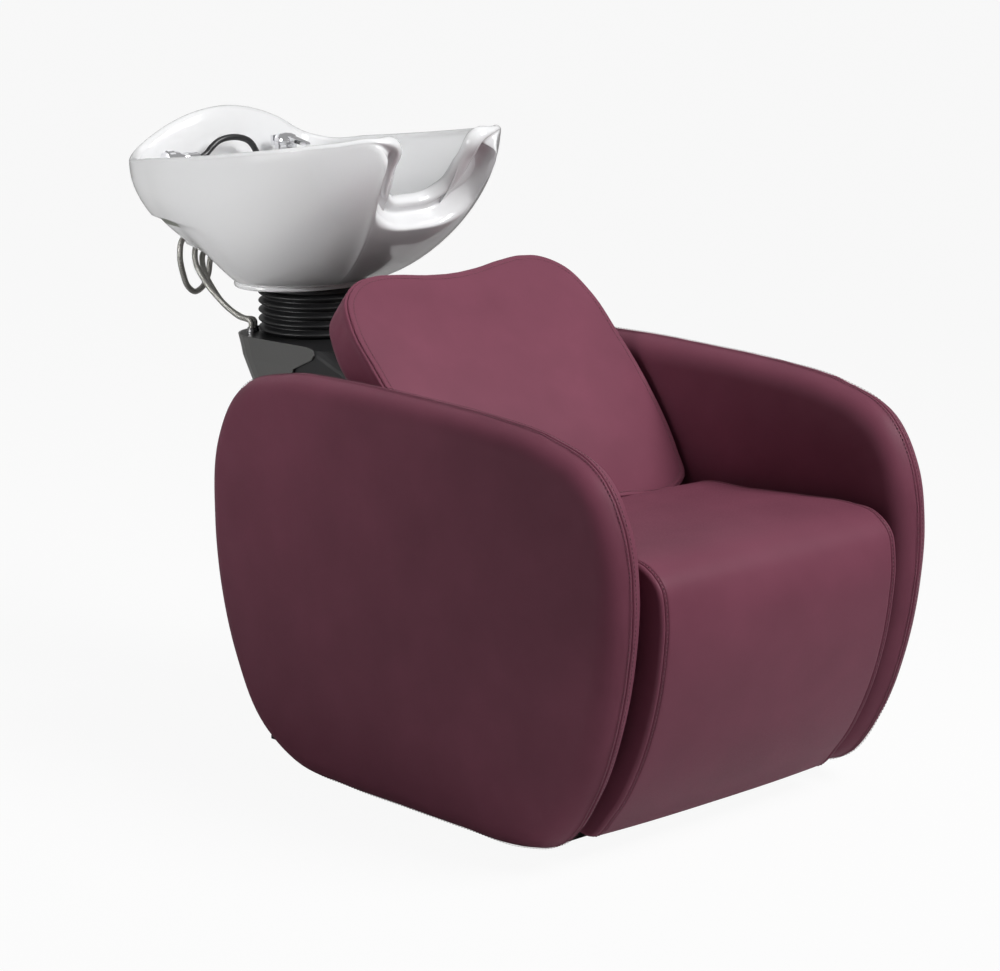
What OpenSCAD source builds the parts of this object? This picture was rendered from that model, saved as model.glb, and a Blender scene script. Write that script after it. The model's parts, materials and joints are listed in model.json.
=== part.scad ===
// Salon backwash unit: upholstered chair with a tilting ceramic hair basin behind it.
// Millimetres. +Z is up, the sitter faces -Y, the basin is at +Y, and X = 0 is the mirror plane.
// The origin is on the floor, at the middle of the four floor anchor holes.

/* [Chair] */
// Overall width over both arms
chair_w = 700; // [660:5:740]
// Thickness of each arm
arm_t = 80; // [70:1:84]
// Clear gap between the seat and each arm
seat_gap = 15; // [8:1:20]
// Width of the backrest pad
back_w = 530; // [500:2:532]
// Thickness of the backrest pad
back_t = 84; // [70:1:90]
// Length of the backrest pad along its face
back_len = 466; // [460:1:470]

/* [Column] */
// Height of the axis that the basin tilts about
hinge_z = 676; // [674:1:678]
// Distance from the origin back to that axis
hinge_y = 395; // [392:1:397]
// Thickness of the column's steel cheek plates
cheek_t = 8; // [6:1:8]
// Outer radius of the bellows
bellows_r = 96; // [94:1:98]
// Folds in the bellows
bellows_folds = 5; // [4:1:7]

/* [Basin] */
// Half width of the basin's oval foot
foot_w = 142; // [138:1:144]
// Half depth of the basin's oval foot
foot_d = 100; // [98:1:102]
// Radius of the waste hole
waste_r = 25; // [24:1:26]

/* [Fixings] */
// Radius of the floor anchor holes
anchor_r = 6; // [5:0.5:7]
// Spacing of the anchor holes across the chair
anchor_x = 360; // [340:10:380]
// Spacing of the anchor holes along the chair
anchor_y = 440; // [420:10:440]
// Outer radius of the waste outlet
outlet_r = 20; // [16:1:20]
// Outer radius of the water inlet tails
inlet_r = 8.3; // [8:0.1:10.5]

/* [Hidden] */
$fn = 48;

leather = "#6b3444";
steel = "#3a3a3c";
bright = "#c8cacc";
ceramic = "#e6e7ea";
plastic_grey = "#5c5d5b";
plastic_black = "#1b1b1d";
ply = "#b8935f";

plate_z = 0;
plate_t = 6;
deck_z = plate_z + plate_t;
arm_x = chair_w / 2 - arm_t / 2;
seat_w = chair_w - 2 * arm_t - 2 * seat_gap;

// ---------------------------------------------------------------- curve helpers
function blend(a, b, t) = a + (b - a) * t;
function smooth(t) = let (c = min(max(t, 0), 1)) c * c * (3 - 2 * c);
// Unit-speed slope at b of a curve that passes through a, b and c
function slope(a, b, c) = let (d = norm(b - a), e = norm(c - b))
    ((b - a) * e / d + (c - b) * d / e) / (d + e);
// Point at t on the cubic from p to q, with slopes m and n
function cubic(p, q, m, n, t) = let (d = norm(q - p), u = t * t, v = u * t)
    (2 * v - 3 * u + 1) * p + (v - 2 * u + t) * d * m + (3 * u - 2 * v) * q + (v - u) * d * n;
// Closed smooth curve through points
function loop(points, steps) = let (n = len(points))
    [for (i = [0:n - 1], s = [0:steps - 1])
        let (a = points[(i + n - 1) % n], b = points[i], c = points[(i + 1) % n], d = points[(i + 2) % n])
        cubic(b, c, slope(a, b, c), slope(b, c, d), s / steps)];
// Open smooth curve through points
function path(points, steps) = let (n = len(points))
    [for (i = [0:n - 2], s = [0:(i == n - 2 ? steps : steps - 1)])
        let (b = points[i], c = points[i + 1],
            m = i == 0 ? (c - b) / norm(c - b) : slope(points[i - 1], b, c),
            o = i == n - 2 ? (c - b) / norm(c - b) : slope(b, c, points[i + 2]))
        cubic(b, c, m, o, s / steps)];
// Outward unit normal of a flat closed curve that runs anticlockwise
function normal(points, i) = let (n = len(points), d = points[(i + 1) % n] - points[(i + n - 1) % n])
    [d.y, -d.x] / norm(d);
function grow(points, by) = [for (i = [0:len(points) - 1]) points[i] + by * normal(points, i)];

// Closed skin over rings of equal length; the first and last ring are capped unless round is true
module skin(rings, round = false) {
    n = len(rings[0]);
    k = len(rings);
    sides = [for (j = [0:(round ? k - 1 : k - 2)], i = [0:n - 1])
        let (a = j * n, b = ((j + 1) % k) * n, i2 = (i + 1) % n) each
            [[a + i, b + i, b + i2], [a + i, b + i2, a + i2]]];
    caps = round ? [] : [[for (i = [0:n - 1]) i], [for (i = [n - 1:-1:0]) (k - 1) * n + i]];
    polyhedron([for (r = rings, p = r) p], concat(sides, caps));
}

// Slab across X whose side outline is a (y, z) curve and whose edge is rounded
module slab(outline, middle, width, edge, turns = 6) {
    skin([for (s = [0:turns]) let (f = -90 + 180 * s / turns)
        let (x = middle + sin(f) * edge + sign(sin(f)) * (width / 2 - edge))
        [for (p = grow(outline, edge * (cos(f) - 1))) [x, p.x, p.y]]]);
}

// Ring of points across a route of 3-D points, and a tube along it
module tube(route, r, sides = 8) {
    n = len(route);
    skin([for (i = [0:n - 1])
        let (d = route[min(i + 1, n - 1)] - route[max(i - 1, 0)], t = d / norm(d),
            side = cross(t, abs(t.x) > 0.8 ? [0, 0, 1] : [1, 0, 0]), u = side / norm(side), v = cross(t, u))
        [for (k = [0:sides - 1]) route[i] + r * (cos(360 * k / sides) * u + sin(360 * k / sides) * v)]]);
}

module rod_x(r, from, to) { translate([from, 0, 0]) rotate([0, 90, 0]) cylinder(h = to - from, r = r); }
module rod_y(r, from, to) { translate([0, to, 0]) rotate([90, 0, 0]) cylinder(h = to - from, r = r); }
module both_sides() { children(); mirror([1, 0, 0]) children(); }
// Flat plate across X, from a (y, z) outline
module plate_x(from, to) { translate([from, 0, 0]) rotate([90, 0, 90]) linear_extrude(to - from) children(); }

// ---------------------------------------------------------------- base and frame
frame_x = 205;
tube_w = 30;
seat_base_z = 340;
upright_y = [-430, 60];

module floor_plate() {
    color(steel) difference() {
        translate([-225, -450, plate_z]) cube([450, 700, plate_t]);
        for (x = [-1, 1] * anchor_x / 2, y = [-1, 1] * anchor_y / 2)
            translate([x, y, plate_z - 1]) cylinder(h = plate_t + 2, r = anchor_r);
    }
}

module uprights() {
    color(steel) for (x = [-1, 1] * frame_x, y = upright_y)
        translate([x - tube_w / 2, y - tube_w / 2, deck_z]) difference() {
            cube([tube_w, tube_w, seat_base_z - tube_w - deck_z]);
            translate([3, 3, -1]) cube([tube_w - 6, tube_w - 6, seat_base_z]);
        }
}

rail_front = -588;
module side_rails() {
    color(steel) for (x = [-1, 1] * frame_x)
        translate([x - tube_w / 2, rail_front, seat_base_z - tube_w]) difference() {
            cube([tube_w, 90 - rail_front, tube_w]);
            translate([3, -1, 3]) cube([tube_w - 6, 92 - rail_front, tube_w - 6]);
        }
}

module cross_rails() {
    inner = frame_x - tube_w / 2;
    color(steel) for (y = [rail_front, -18])
        translate([-inner, y, seat_base_z - tube_w]) difference() {
            cube([2 * inner, tube_w, tube_w]);
            translate([-1, 3, 3]) cube([2 * inner + 2, tube_w - 6, tube_w - 6]);
        }
}

seat_board_t = 15;
module seat_board() {
    color(ply) translate([-seat_w / 2 + 20, -570, seat_base_z]) difference() {
        cube([seat_w - 40, 400, seat_board_t]);
        for (x = [0.25, 0.5, 0.75]) translate([x * (seat_w - 40), 200, -1]) cylinder(h = seat_board_t + 2,
            r = 20);
    }
}

front_line = [[-597, 318], [-597, 304], [-591, 250], [-563, 162], [-522, 94], [-498, 66]];
module front_board() {
    color(ply) plate_x(-seat_w / 2 + 20, seat_w / 2 - 20)
        polygon(concat(front_line, [for (k = [len(front_line) - 1:-1:0]) front_line[k] + [9, 0]]));
}

// ---------------------------------------------------------------- upholstery
// Side outlines of the seat and of the panel under it, (y, z), which meet in one smooth front
seat_bottom = seat_base_z + seat_board_t + 0.5;
seat_curve = [[-679.5, seat_bottom], [-682, 400], [-672, 445], [-640, 470], [-590, 476], [-500, 471],
    [-380, 462],
    [-268, 452], [-246, 440], [-243, 400], [-256, 366], [-290, seat_bottom]];
panel_curve = [[-508, 42], [-532, 36], [-582, 82], [-630, 162], [-662, 250], [-679.5, seat_bottom - 0.5]];
panel_back = [[-608, seat_bottom - 0.5], [-608, 320], [-602, 250], [-574, 160], [-532, 90], [-508, 62]];
module seat_cushion() {
    round_top = path(seat_curve, 2);
    color(leather) slab([for (i = [len(round_top) - 1:-1:0]) round_top[i]], 0, seat_w, 9, 4);
}
module front_panel() {
    round_side = concat(path(panel_curve, 3), path(panel_back, 2));
    color(leather) slab([for (i = [len(round_side) - 1:-1:0]) round_side[i]], 0, seat_w, 9, 4);
}

bracket_y = upright_y;
bracket_z = 200;
arm_face = chair_w / 2 - arm_t;
// Middle-plane outline of an arm, (y, z), from the top of its back edge round to its top
arm_outline = [[168, 586], [208, 520], [219, 400], [206, 290], [173, 190], [118, 102], [44, 60], [-60, 52],
    [-200, 52], [-340, 53], [-450, 56], [-520, 76], [-572, 145], [-612, 245], [-634, 350], [-639, 440],
    [-625, 520], [-588, 578], [-505, 607], [-380, 619], [-220, 623], [-60, 623], [80, 613]];
arm_round = loop([for (i = [len(arm_outline) - 1:-1:0]) arm_outline[i]], 3);
module arm(x) {
    color(leather) difference() {
        slab(grow(arm_round, arm_t / 2), x, arm_t, arm_t / 2, 8);
        for (y = bracket_y, dy = [-25, 25], dz = [-25, 25])
            translate([0, y + dy, bracket_z + dz]) rod_x(4, x < 0 ? -arm_face - 30 : arm_face - 1,
                x < 0 ? -arm_face + 1 : arm_face + 30);
    }
}
module arm_left() { arm(-arm_x); }
module arm_right() { arm(arm_x); }

module arm_brackets() {
    color(steel) both_sides() for (y = bracket_y) {
        translate([frame_x + tube_w / 2, y - 15, bracket_z - 40]) cube([6, 30, 110]);
        translate([frame_x + tube_w / 2 + 6, y - 15,
            bracket_z - 3]) cube([arm_face - frame_x - tube_w / 2 - 12, 30, 6]);
        translate([arm_face - 6, y - 40, bracket_z - 40]) difference() {
            cube([6, 80, 80]);
            for (dy = [15, 65], dz = [15, 65]) translate([-1, dy, dz]) rod_x(4.2, 0, 8);
        }
    }
}
module arm_screws() {
    color(bright) both_sides() for (y = bracket_y, dy = [-25, 25], dz = [-25, 25])
        translate([0, y + dy, bracket_z + dz]) {
            rod_x(4, arm_face - 6, arm_face + 30);
            rod_x(8, arm_face - 11, arm_face - 6);
        }
}

// The backrest bends back as it rises: angle from the vertical at its foot and at its head
back_lean = [27, 45];
back_foot = [-238, 438];
// Lean at height v along the pad, all of it turned by two thirds of the way up
function back_turn(v) = blend(back_lean[0], back_lean[1], smooth(v / (0.62 * back_len)));
function sum_to(list, k) = k < 0 ? [0, 0] : list[k] + sum_to(list, k - 1);
// Point u across, v up and w deep in the curved pad
function back_point(u, v, w) = let (n = 8, a = back_turn(v))
    let (run = [for (k = [0:n - 1]) let (b = back_turn(v * (k + 0.5) / n)) [sin(b), cos(b)] * v / n])
    let (s = back_foot + sum_to(run, n - 1) + w * [cos(a), -sin(a)]) [u, s.x, s.y];
// Front outline of the pad, (across, up): two rounded shoulders with a shallow dip for the neck
back_top = [[1, 0.62], [0.985, 0.8], [0.9, 0.925], [0.75, 0.985], [0.6, 1], [0.4, 0.992], [0.2, 0.975]];
back_half = concat([[110, 0], [back_w / 2 - 25, 2], [back_w / 2 - 4, 16], [back_w / 2, 60],
    [back_w / 2, 170]],
    [for (p = back_top) [p.x * back_w / 2, p.y * back_len]]);
back_outline = loop(concat([[0, 0]], back_half, [[0, 0.968 * back_len]],
    [for (i = [len(back_half) - 1:-1:0]) [-back_half[i].x, back_half[i].y]]), 2);
// Pillow over a front outline: front face, rounded edge and back face, all bent by back_point
// The front edge is rounded by edge and the back edge by soft
module pad(outline, middle, depth, edge, soft, crown, from = 0) {
    inward = [0.25, 0.5, 0.75];
    shrink = function (s, by) [for (p = outline) let (q = p - middle) middle + q * (1 - by / norm(q)) * s];
    put = function (ring, w) [for (p = ring) back_point(p.x, p.y, w)];
    rear = [for (s = inward) put(shrink(s, soft), from + depth)];
    rim = [for (f = [90:-30:-90]) let (r = f > 0 ? soft : edge)
        put(shrink(1, r * (1 - cos(f))), from + (f > 0 ? depth - r : r) + sin(f) * r)];
    face = [for (s = [0.75, 0.5, 0.25]) put(shrink(s, edge), from - crown * (1 - s * s))];
    skin(concat(rear, rim, face));
}
module backrest_pad() { color(leather) pad(back_outline, [0, back_len / 2], back_t, 10, 24, 8); }
module backrest_board() {
    color(ply) intersection() {
        pad(grow(back_outline, -40), [0, back_len / 2], 12, 4, 4, 0, back_t + 2);
        translate([-300, -300, 300]) cube([600, 600, 600]);
    }
}
strut_x = 120;
module backrest_struts() {
    low = back_point(0, 225, back_t + 14);
    high = back_point(0, 345, back_t + 14);
    color(steel) both_sides() plate_x(strut_x, strut_x + 8)
        polygon([[-16, seat_base_z], [12, seat_base_z], [high.y + 26, high.z - 26], [high.y, high.z],
        [low.y, low.z]]);
}

// ---------------------------------------------------------------- column
cheek_x = 56;
cheek_outline = [[20, deck_z], [130, deck_z], [150, 240], [235, 400], [hinge_y + 35, 560],
    [hinge_y + 35, 690],
    [hinge_y - 35, 690], [hinge_y - 35, 610], [150, 500], [60, 380], [35, 240]];
module column_cheeks() {
    color(steel) both_sides() difference() {
        plate_x(cheek_x, cheek_x + cheek_t) polygon(cheek_outline);
        translate([0, hinge_y, hinge_z]) rod_x(8, cheek_x - 1, cheek_x + cheek_t + 1);
        for (p = [[85, 180], [150, 400], [250, 505]]) translate([0, p.x, p.y]) rod_x(22, cheek_x - 1,
            cheek_x + cheek_t + 1);
    }
}
spacer_at = [[40, 60], [60, 300], [120, 440]];
module column_spacers() {
    color(bright) for (p = spacer_at) translate([0, p.x, p.y]) rod_x(9, -cheek_x, cheek_x);
}
top_z = 640;
module column_head() {
    color(steel) difference() {
        translate([0, hinge_y, top_z - 10]) cylinder(h = 6, r = 84);
        translate([0, hinge_y, top_z - 11]) cylinder(h = 8, r = 40);
        both_sides() plate_x(cheek_x, cheek_x + cheek_t) polygon(cheek_outline);
    }
}

// Sections of the column's inner cover: height, front, rear, half width and corner radius
cover_levels = [[deck_z, 8, 150, 96, 24], [200, 14, 196, 98, 30], [400, 20, 336, 102, 45],
    [500, 28, 408, 106, 55], [560, 45, 450, 112, 64], [605, 110, 478, 120, 68],
    [top_z, 205, 488, 124, 68]];
// Rounded rectangle ring, anticlockwise, with eight points to each corner
function ring_at(z, front, rear, half, r) =
    [for (q = [0:3], s = [0:7])
        let (a = 90 * q + 90 * s / 7 - 90, c = [[1, -1], [1, 1], [-1, 1], [-1, -1]][q])
        [c.x * (half - r) + r * cos(a), (front + rear) / 2 + c.y * ((rear - front) / 2 - r) + r * sin(a), z]];
// Where the two supply hoses come up through the cover
supply_at = [[-90, 455], [-74, 467]];
module cover_skin(by, levels, low = 0, high = 0) {
    n = len(levels) - 1;
    skin([for (k = [0:n]) let (l = levels[k])
        let (z = l[0] + (k == 0 ? -low : 0) + (k == n ? high : 0))
        ring_at(z, l[1] - by, l[2] + by, l[3] + by, l[4] + by)]);
}
module column_cover() {
    color(plastic_black) difference() {
        cover_skin(0, cover_levels);
        cover_skin(-4, cover_levels, 1, -4);
        translate([0, hinge_y, top_z - 5]) cylinder(h = 10, r = bellows_r - 18);
        for (p = supply_at) translate([p.x, p.y, top_z - 5]) cylinder(h = 10, r = 7);
        translate([-62, 110, deck_z - 1]) cube([124, 80, 90]);
    }
}
shroud_levels = [[330, 60, 302, 106, 50], [420, 60, 364, 110, 56], [500, 60, 424, 114, 64],
    [570, 60, 468, 119, 70], [605, 60, 483, 125, 73], [620, 60, 486, 126, 73], [645, 60, 493, 128, 73]];
module column_shroud() {
    color(plastic_grey) intersection() {
        difference() {
            cover_skin(0, shroud_levels);
            cover_skin(-2.5, shroud_levels, 1, 1);
        }
        plate_x(-200, 200) polygon([[150, 320], [320, 320], [560, 540], [560, 638], [262, 645], [249, 642],
            [246, 634], [252, 625], [302, 603], [318, 575], [300, 540], [250, 480]]);
    }
}

// ---------------------------------------------------------------- tilting head
ear_x = 42;
ear_t = 8;
pin_r = 8;
bush_r = 11;
running = 0.05;
tilt_z = 716;
module hinge_pins() {
    color(bright) both_sides() translate([0, hinge_y, hinge_z]) {
        rod_x(pin_r, ear_x - 4, cheek_x + cheek_t);
        rod_x(13, cheek_x + cheek_t, cheek_x + cheek_t + 6);
    }
}
module hinge_bushes() {
    color("#a98a4b") both_sides() translate([0, hinge_y, hinge_z]) difference() {
        rod_x(bush_r, ear_x, ear_x + ear_t);
        rod_x(pin_r + running, ear_x - 1, ear_x + ear_t + 1);
    }
}
module friction_washers() {
    color(bright) both_sides() translate([0, hinge_y, hinge_z]) difference() {
        rod_x(15, ear_x + ear_t, cheek_x - running);
        rod_x(pin_r + 0.3, ear_x, cheek_x + 1);
    }
}
module tilt_yoke() {
    color(steel) both_sides() difference() {
        plate_x(ear_x, ear_x + ear_t) union() {
            translate([hinge_y, hinge_z]) circle(r = 18);
            translate([hinge_y - 26, hinge_z]) square([52, tilt_z - hinge_z]);
        }
        translate([0, hinge_y, hinge_z]) rod_x(bush_r, ear_x - 1, ear_x + ear_t + 1);
    }
}
gasket_z = tilt_z + 5;
foot_z = gasket_z + 3;
module tilt_plate() {
    color(steel) difference() {
        translate([0, hinge_y, tilt_z]) cylinder(h = 5, r = bellows_r - 6);
        translate([0, hinge_y, tilt_z - 1]) cylinder(h = 7, r = 30);
    }
}
module basin_gasket() {
    color(plastic_black) difference() {
        translate([0, hinge_y, gasket_z]) cylinder(h = 3, r = 88);
        translate([0, hinge_y, gasket_z - 1]) cylinder(h = 5, r = 70);
    }
}
module bellows() {
    low = top_z;
    h = (tilt_z - low) / bellows_folds;
    color(plastic_black) translate([0, hinge_y, 0]) rotate_extrude()
        polygon(concat(
            [for (k = [0:bellows_folds - 1]) each [[bellows_r - 9, low + k * h],
            [bellows_r, low + (k + 0.5) * h]]],
            [[bellows_r - 9, tilt_z], [bellows_r - 12, tilt_z]],
            [for (k = [bellows_folds - 1:-1:0]) each
                [[bellows_r - 3, low + (k + 0.5) * h], [bellows_r - 12, low + k * h]]]));
}

// ---------------------------------------------------------------- basin
// Right half of the rim's outer edge from the neck notch to the splash guard, (x, y, z)
rim_half = [[44, 142, 884], [76, 124, 908], [88, 96, 952], [94, 74, 984], [122, 77, 996], [176, 124, 990],
    [222, 205, 978], [244, 315, 962], [248, 430, 947], [238, 540, 934], [217, 617, 926], [188, 644, 935],
    [124, 650, 968],
    [62, 650, 988]];
rim = loop(concat([[0, 148, 880]], rim_half, [[0, 650, 995]],
    [for (i = [len(rim_half) - 1:-1:0]) [-rim_half[i].x, rim_half[i].y, rim_half[i].z]]), 2);
bowl_centre = [0, 372];
foot_y = 405;
foot_top = 732;
bowl_floor = 768;
shelf_z = 885;
shelf_y = 548;

function flat(p) = [p.x, p.y];
// Point h of the way from a foot or floor point f out to the rim, and v of the way down
function between(f, r, h, v) = [f.x + (r.x - f.x) * h, f.y + (r.y - f.y) * h, r.z + (f.z - r.z) * v];
// Inside of the bowl: a rounded wall from a floor point f up to a rim point p, at angle a down from the rim;
// it is squarer behind the tap shelf
function wall_point(p, f, a) = let (n = 2 / blend(1.75, 3.6, smooth((p.y - 520) / 90)))
    between(f, p, pow(max(cos(a), 0), n), pow(max(sin(a), 0), n));
// Outside of the hull from a foot point f up to a rim point p; it hollows more towards the back
function to_back(p) = smooth((p.y - 250) / 330);
function hull_point(p, f, a) = between(f, p, pow(max(cos(a), 0), blend(1.4, 2, to_back(p))),
    pow(max(sin(a), 0), blend(1.1, 0.92, to_back(p))));
function hull_angle(p, f, z) = asin(pow((p.z - z) / (p.z - f.z), 1 / blend(1.1, 0.92, to_back(p))));
// Rim point at height top whose hull line passes through e
function rim_over(e, f, top) = let (h = pow(cos(hull_angle([0, e.y, top], f, e.z)),
    blend(1.4, 2, to_back(e))))
    [f.x + (e.x - f.x) / h, f.y + (e.y - f.y) / h, top];
function foot_point(p, r, z) = let (d = flat(p) - [0, hinge_y], q = [0, hinge_y] + d * r / norm(d)) [q.x,
    q.y, z];
// Point of the oval foot towards p, moved out by a
function foot_oval(p, a, z) = let (d = flat(p) - [0, foot_y], t = d / norm(d),
    r = 1 / norm([t.x / (foot_w + a), t.y / (foot_d + a)])) [t.x * r, foot_y + t.y * r, z];
// The tap shelf lifts the inside of the back of the bowl
function shelf(p) = let (t = smooth((p.y - shelf_y + 14) / 28))
    [p.x, p.y, blend(p.z, max(p.z, shelf_z), t)];

// Where the hull ends under the rolled lip, (x, y, z): well out from the notch, just under the rim elsewhere
notch_shoulder = [[0, 120, 852], [54, 117, 858], [98, 104, 886], [114, 87, 930], [118, 79, 962],
    [128, 80, 986]];
function under_rim(p) = let (f = foot_oval(p, 0, foot_top)) hull_point(p, f, hull_angle(p, f, p.z - 8));
shoulder_half = concat([for (k = [1:5]) notch_shoulder[k]],
    [for (k = [5:len(rim_half) - 1]) under_rim(rim_half[k])]);
shoulder = loop(concat([notch_shoulder[0]], shoulder_half, [under_rim([0, 650, 995])],
    [for (i = [len(shoulder_half) - 1:-1:0]) [-shoulder_half[i].x, shoulder_half[i].y,
    shoulder_half[i].z]]), 2);
// 1 round the neck notch, 0 elsewhere
function notch(p) = smooth((132 - abs(p.x)) / 34) * smooth((180 - p.y) / 30);
// Out from the bowl at rim point i, and up into the notch or over the rim, square to the rim
function out_of(i) = let (d = flat(rim[i]) - bowl_centre) [d.x, d.y, 0] / norm(d);
function up_from(i) = let (n = len(rim), t = rim[(i + 1) % n] - rim[(i + n - 1) % n], u = cross(out_of(i), t))
    blend([0, 0, 1], u / norm(u), notch(rim[i]));
// Rim point i moved out and up, by plain on the rim and by necked in the notch
function rolled(i, plain, necked) = let (q = blend(plain, necked, notch(rim[i])))
    rim[i] + q[0] * out_of(i) + q[1] * up_from(i);
lip_out = [-18, -1];
lip_in = [-28, 12];
ledge_at = 830;
ledge_step = 10;

module basin() {
    each_i = [0:len(rim) - 1];
    // Hull line i at part t of the way from angle a to angle b, set in by the ledge step at the back
    hull_ring = function (from_foot, t, step) [for (i = each_i)
        let (e = shoulder[i], f = foot_oval(e, 0, foot_top),
            r = rim_over(e, f, blend(rim[i].z, 988, notch(rim[i]))),
            ledge = hull_angle(r, f, ledge_at), low = hull_angle(r, f, e.z),
            q = hull_point(r, f, from_foot ? blend(90, ledge, t) : blend(ledge - 2, low, t)),
            d = flat(q) - [0, foot_y], s = flat(q) - d / norm(d) * step * smooth((rim[i].y - 430) / 120))
        [s.x, s.y, q.z]];
    outer = concat([for (k = [0:5]) hull_ring(true, k / 5, k == 0 ? 0 : ledge_step)],
        [for (k = [0:5]) hull_ring(false, k / 5, 0)]);
    lip = [for (q = [[[-0.1, -6], [9, -23]], [[-0.1, -4], [-3, -13]], [[0, -2], [-1, -4]], [[0, 0], [1, 1]],
        [[-2, 3], [-2, 8]], [[-6, 5], [-9, 14]], [[-12, 4], [-19, 16]], [lip_out, lip_in]])
        [for (i = each_i) rolled(i, q[0], q[1])]];
    inner = [for (a = [6, 12, 20, 28, 36, 45, 54, 63, 72, 81, 90]) [for (i = each_i)
        shelf(wall_point(rolled(i, lip_out, lip_in), foot_point(rim[i], 40, bowl_floor), a))]];
    foot = concat([for (q = [[2, foot_top - 2], [2, foot_z + 2], [-2, foot_z]])
            [for (p = rim) foot_oval(p, q[0], q[1])]],
        [[for (p = rim) foot_point(p, 66, foot_z)], [for (p = rim) foot_point(p, 62, 748)],
        [for (p = rim) foot_point(p, waste_r, 749)]]);
    seat = [[for (p = rim) foot_point(p, 38, bowl_floor - 5)],
        [for (p = rim) foot_point(p, waste_r, bowl_floor - 5)]];
    color(ceramic) difference() {
        skin(concat(seat, [for (k = [len(foot) - 1:-1:0]) foot[k]], outer, lip, inner), true);
        for (p = [tap_at, elbow_at]) translate([p.x, p.y, 0]) {
            translate([0, 0, 700]) cylinder(h = ledge_z - 700, r = 19);
            translate([0, 0, 800]) cylinder(h = 200, r = shank_r + 0.5);
        }
    }
}
ledge_z = 832;
shank_r = 9;
tap_at = [97, 588];
elbow_at = [44, 600];

module waste_flange() {
    color(bright) difference() {
        union() {
            translate([0, hinge_y, bowl_floor - 5]) cylinder(h = 4, r = 36);
            translate([0, hinge_y, 690]) cylinder(h = bowl_floor - 693, r = waste_r - 1);
        }
        translate([0, hinge_y, 680]) cylinder(h = 100, r = waste_r - 5);
    }
}
module waste_nut() {
    color("#d9d9d4") difference() {
        translate([0, hinge_y, tilt_z - 8]) cylinder(h = 8, r = 33, $fn = 6);
        translate([0, hinge_y, tilt_z - 9]) cylinder(h = 10, r = waste_r - 1);
    }
}
module waste_tail() {
    color("#d9d9d4") difference() {
        translate([0, hinge_y, 664]) cylinder(h = 26, r = 23);
        translate([0, hinge_y, 660]) cylinder(h = 40, r = 18);
    }
}
module waste_boot() {
    color(plastic_black) translate([0, hinge_y, 0]) rotate_extrude()
        polygon([[20.5, 640], [24, 640], [24, 655], [27, 664], [26, 680], [23.1, 680], [23.1, 664],
        [20.5, 655]]);
}
waste_route = [[0, hinge_y, 655], [0, hinge_y - 2, 600], [0, 300, 500], [0, 180, 340], [0, 95, 200],
    [0, 88, 100], [0, 96, 68], [0, 115, 58], [0, 133, 58], [0, 152, 58]];
module waste_hose() { color("#8b8c8c") tube(path(waste_route, 2), outlet_r, 12); }
module waste_outlet() {
    color("#8b8c8c") translate([0, 0, 58]) rod_y(outlet_r, 152, 212);
}
module strainer() {
    color(bright) difference() {
        union() {
            translate([0, hinge_y, bowl_floor - 1]) cylinder(h = 2, r = 26);
            translate([0, hinge_y, bowl_floor - 22]) cylinder(h = 21, r = waste_r - 6);
        }
        translate([0, hinge_y, bowl_floor - 20]) cylinder(h = 17, r = waste_r - 8);
        for (k = [0:5]) translate([0, hinge_y, bowl_floor - 4]) rotate(60 * k) translate([10, 0,
            0]) cylinder(h = 6, r = 3, $fn = 12);
    }
}

// ---------------------------------------------------------------- tap and hand shower
module tap_body() {
    color(bright) translate([tap_at.x, tap_at.y, shelf_z]) {
        cylinder(h = 6, r = 25);
        translate([0, 0, 6]) cylinder(h = 37, r1 = 21, r2 = 19);
        translate([0, 0, ledge_z - 20 - shelf_z]) cylinder(h = shelf_z + 1 - ledge_z + 20, r = shank_r);
    }
}
tap_top = shelf_z + 51;
// The lever hinges on a pin at the back of the cartridge
lever_back = 20;
lever_up = 5;
module tap_cartridge() {
    color(bright) translate([tap_at.x, tap_at.y, tap_top]) {
        translate([0, 0, -8]) rotate_extrude() polygon([[0, 0], [19, 0], [20, 3], [20, 7], [19, 8], [0, 8]]);
        translate([-14.5, 6, -8]) cube([29, 18, 8]);
        for (x = [-14.5, 10.5]) translate([x, 17.6, -4]) cube([4, 6.4, lever_up + 8]);
        translate([0, lever_back, lever_up]) rod_x(2.5, -14.5, 14.5);
    }
}
module tap_lever() {
    color(bright) translate([tap_at.x, tap_at.y, tap_top]) difference() {
        union() {
            rotate_extrude() polygon([[0, 0.05], [19, 0.05], [20, 1.5], [19.4, 6], [16, 10.5], [10, 13],
                [0, 14]]);
            translate([0, lever_back, lever_up]) rod_x(4.5, -10.2, 10.2);
            translate([0, -10, 6]) rotate([8, 0, 0]) hull() {
                translate([0, -2, 0]) rod_x(4, -8, 8);
                translate([0, -48, 0]) rod_x(3.2, -5, 5);
            }
        }
        translate([0, lever_back, lever_up]) rod_x(2.5 + running, -20, 20);
    }
}
module tap_nut() {
    color(bright) translate([tap_at.x, tap_at.y, ledge_z - 8]) difference() {
        cylinder(h = 8, r = 17, $fn = 6);
        translate([0, 0, -1]) cylinder(h = 10, r = shank_r);
    }
}
shower_z = shelf_z + 37;
shower_y = 600;
module shower_head() {
    color(bright) translate([-154, shower_y, shower_z]) rotate([0, 90, 0]) rotate_extrude()
        polygon([[0, 0], [14.5, 0], [16.5, 3], [16.5, 14], [14, 26], [10, 36], [0, 36]]);
}
module shower_handle() {
    color(bright) translate([-118, shower_y, shower_z]) rotate([0, 90, 0]) rotate_extrude()
        polygon([[0, 0], [10, 0], [11, 8], [10, 28], [8, 34], [0, 34]]);
}
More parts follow.
